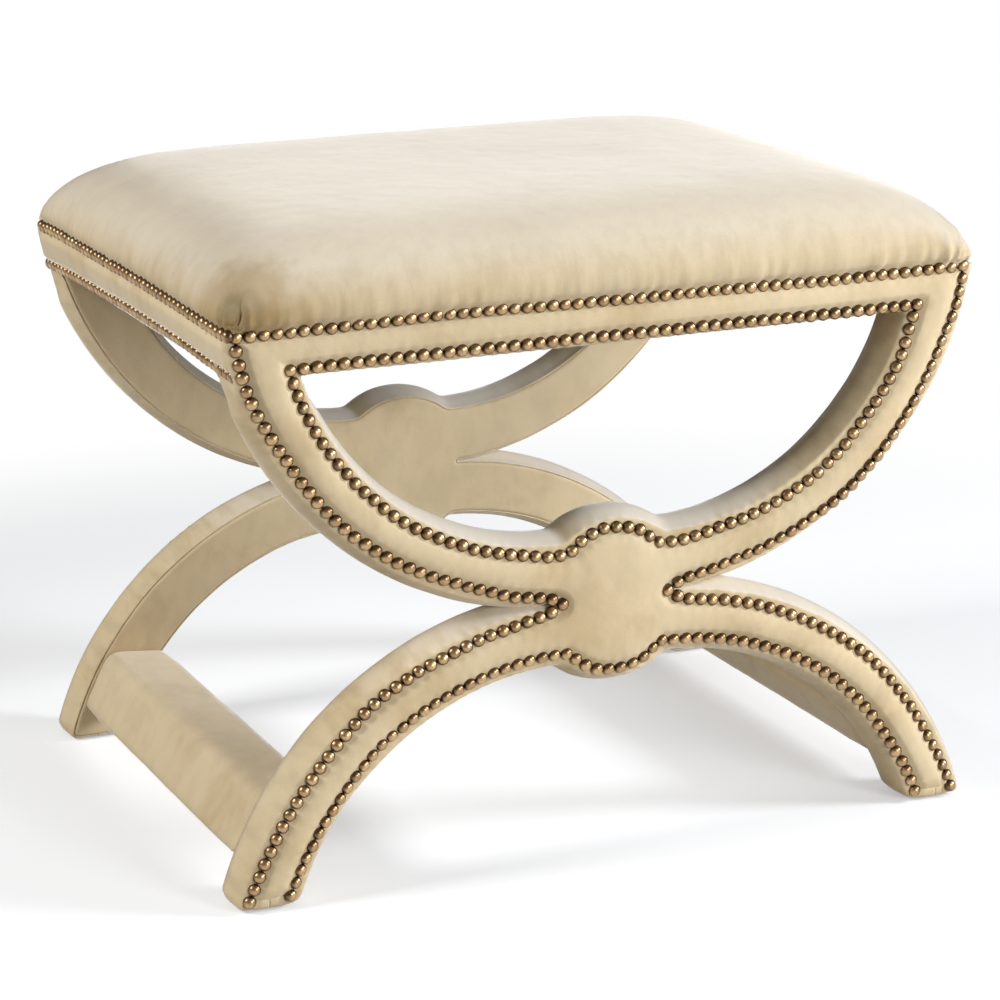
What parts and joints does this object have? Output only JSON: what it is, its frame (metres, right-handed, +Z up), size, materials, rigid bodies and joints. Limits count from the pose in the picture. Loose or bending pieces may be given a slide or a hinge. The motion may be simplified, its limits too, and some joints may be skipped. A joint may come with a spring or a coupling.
{
  "type": "x frame stool",
  "caption": "Upholstered stool with curved X frames front and back, low side stretchers, a crowned seat and rows of nail-head trim.",
  "frame": {"origin": "on the floor, under the middle of the seat", "axes": "+X to the right along the front, +Y from the front X frame to the back one, +Z up"},
  "size_m": [0.6658, 0.529, 0.5476],
  "materials": {
    "velvet": "matte",
    "wood": "matte",
    "plywood": "matte",
    "foam": "matte",
    "dust_cover_cloth": "matte",
    "antique_brass": "satin"
  },
  "bodies": {
    "root": {"front_top_rail": "wood", "front_hub": "wood", "front_upper_leg_left": "wood", "front_upper_leg_right": "wood", "front_lower_leg_left": "wood", "front_lower_leg_right": "wood", "front_upper_hub_dowel_left": "wood", "front_upper_hub_dowel_right": "wood", "front_lower_hub_dowel_left": "wood", "front_lower_hub_dowel_right": "wood", "front_rail_dowel_left": "wood", "front_rail_dowel_right": "wood", "front_outside_panel": "velvet", "front_inside_panel": "velvet", "front_opening_band": "velvet", "front_arch_band": "velvet", "front_side_band_left": "velvet", "front_side_band_right": "velvet", "front_glide_left": "antique_brass", "front_glide_right": "antique_brass", "back_top_rail": "wood", "back_hub": "wood", "back_upper_leg_left": "wood", "back_upper_leg_right": "wood", "back_lower_leg_left": "wood", "back_lower_leg_right": "wood", "back_upper_hub_dowel_left": "wood", "back_upper_hub_dowel_right": "wood", "back_lower_hub_dowel_left": "wood", "back_lower_hub_dowel_right": "wood", "back_rail_dowel_left": "wood", "back_rail_dowel_right": "wood", "back_outside_panel": "velvet", "back_inside_panel": "velvet", "back_opening_band": "velvet", "back_arch_band": "velvet", "back_side_band_left": "velvet", "back_side_band_right": "velvet", "back_glide_left": "antique_brass", "back_glide_right": "antique_brass", "end_rail_left": "wood", "end_rail_right": "wood", "end_band_left": "velvet", "end_band_right": "velvet", "stretcher_core_left": "wood", "stretcher_core_right": "wood", "stretcher_sleeve_left": "velvet", "stretcher_sleeve_right": "velvet", "stretcher_dowel_front_left": "wood", "stretcher_dowel_front_right": "wood", "stretcher_dowel_back_left": "wood", "stretcher_dowel_back_right": "wood", "corner_block_front_left": "wood", "corner_block_front_right": "wood", "corner_block_back_left": "wood", "corner_block_back_right": "wood", "seat_deck": "plywood", "seat_foam": "foam", "seat_cover": "velvet", "dust_cover": "dust_cover_cloth"}
  },
  "joints": []
}
